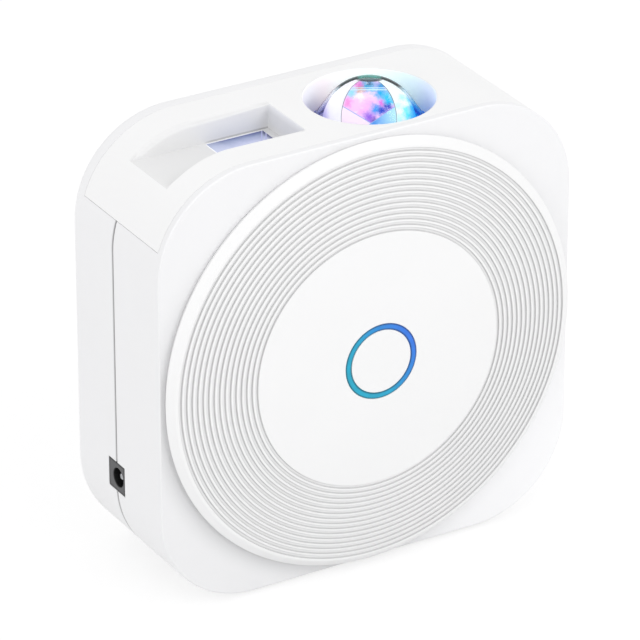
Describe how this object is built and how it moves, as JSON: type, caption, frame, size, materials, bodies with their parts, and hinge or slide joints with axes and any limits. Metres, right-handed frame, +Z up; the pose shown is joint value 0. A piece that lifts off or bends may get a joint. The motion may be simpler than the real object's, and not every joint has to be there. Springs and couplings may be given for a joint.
{
  "type": "planetarium projector",
  "caption": "Square white star and nebula projector with a crowned grooved front disc, ring-lit centre button, laser window in a recess and a petal dome in a round well.",
  "frame": {"origin": "on the surface that the feet stand on, under the middle of the whole width and depth", "axes": "+Z up, -Y out of the front with the round disc, -X towards the side with the power inlet"},
  "size_m": [0.132, 0.0576, 0.1381],
  "materials": {
    "white_shell": "satin moulded ABS, slightly glossy",
    "white_cover": "satin moulded ABS",
    "white_disc": "satin moulded ABS with turned grooves",
    "light_guide": "edge-lit light guide, cyan to blue",
    "clear_lens": "clear moulded optical plastic",
    "petal_lens": "moulded optical plastic with a nebula pattern",
    "window_glass": "blue-violet tinted laser window",
    "optic_glass": "clear lens",
    "black_plastic": "black moulded plastic",
    "grey_plastic": "mid grey moulded plastic",
    "acetal": "natural acetal",
    "circuit_board": "green solder mask",
    "chip": "black epoxy",
    "shield": "tinned shield can",
    "led": "phosphor-covered emitters",
    "rubber": "dark grey silicone rubber",
    "steel": "zinc-plated steel",
    "brass": "turned brass",
    "aluminium": "extruded aluminium",
    "lead_jacket": "black PVC lead"
  },
  "bodies": {
    "housing": {"front_shell": "white_shell", "rear_shell": "white_shell", "top_cover": "white_cover", "case_screws": "steel", "rubber_feet": "rubber", "front_disc": "white_disc", "disc_screws": "steel", "ring_light_guide": "light_guide", "switch_base": "chip", "button_board": "circuit_board", "ring_leds": "led", "button_board_screws": "steel", "laser_window": "window_glass", "dome_lens": "clear_lens", "rotor_bush": "black_plastic", "nebula_motor": "steel", "nebula_motor_screws": "steel", "lens_holder": "black_plastic", "condenser_lens": "optic_glass", "led_board": "circuit_board", "led_emitters": "led", "heat_sink": "aluminium", "lamp_screws": "steel", "laser_barrel": "brass", "laser_lens": "optic_glass", "laser_block": "aluminium", "laser_block_screws": "steel", "grating_bush": "brass", "laser_motor": "steel", "laser_motor_screws": "steel", "optics_carrier": "black_plastic", "carrier_screws": "steel", "inlet_housing": "grey_plastic", "inlet_contact": "steel", "main_board": "circuit_board", "main_board_screws": "steel", "wireless_module": "shield", "board_chips": "chip", "capacitors": "aluminium", "lead_sockets": "acetal", "leads": "lead_jacket"},
    "button": {"button_cap": "white_disc", "switch_plunger": "black_plastic"},
    "nebula_rotor": {"petal_lens": "petal_lens", "rotor_gear": "black_plastic"},
    "nebula_drive": {"nebula_motor_shaft": "steel", "nebula_pinion": "acetal"},
    "grating": {"grating_wheel": "acetal", "grating_film": "optic_glass"},
    "laser_drive": {"laser_motor_shaft": "steel", "laser_pinion": "acetal"}
  },
  "joints": [
    {"name": "button_press", "type": "slide", "parent": "housing", "child": "button", "axis": [0, 1, 0], "range_m": [0, 0.0004], "stiffness_N_per_m": 700},
    {"name": "nebula_turn", "type": "hinge", "parent": "housing", "child": "nebula_rotor", "pos_m": [0.0135, 0.0008, 0.113], "axis": [0, 0, 1], "continuous": true},
    {"name": "nebula_pinion_turn", "type": "hinge", "parent": "housing", "child": "nebula_drive", "pos_m": [0.0345, 0.0008, 0.113], "axis": [0, 0, 1], "continuous": true},
    {"name": "grating_turn", "type": "hinge", "parent": "housing", "child": "grating", "pos_m": [-0.02425, 0.0008, 0.1137], "axis": [0, 0, 1], "continuous": true},
    {"name": "laser_pinion_turn", "type": "hinge", "parent": "housing", "child": "laser_drive", "pos_m": [-0.03875, 0.0008, 0.1137], "axis": [0, 0, 1], "continuous": true}
  ],
  "couplings": [
    {"joint": "nebula_pinion_turn", "follows": "nebula_turn", "ratio": -4},
    {"joint": "laser_pinion_turn", "follows": "grating_turn", "ratio": -3.1429}
  ]
}
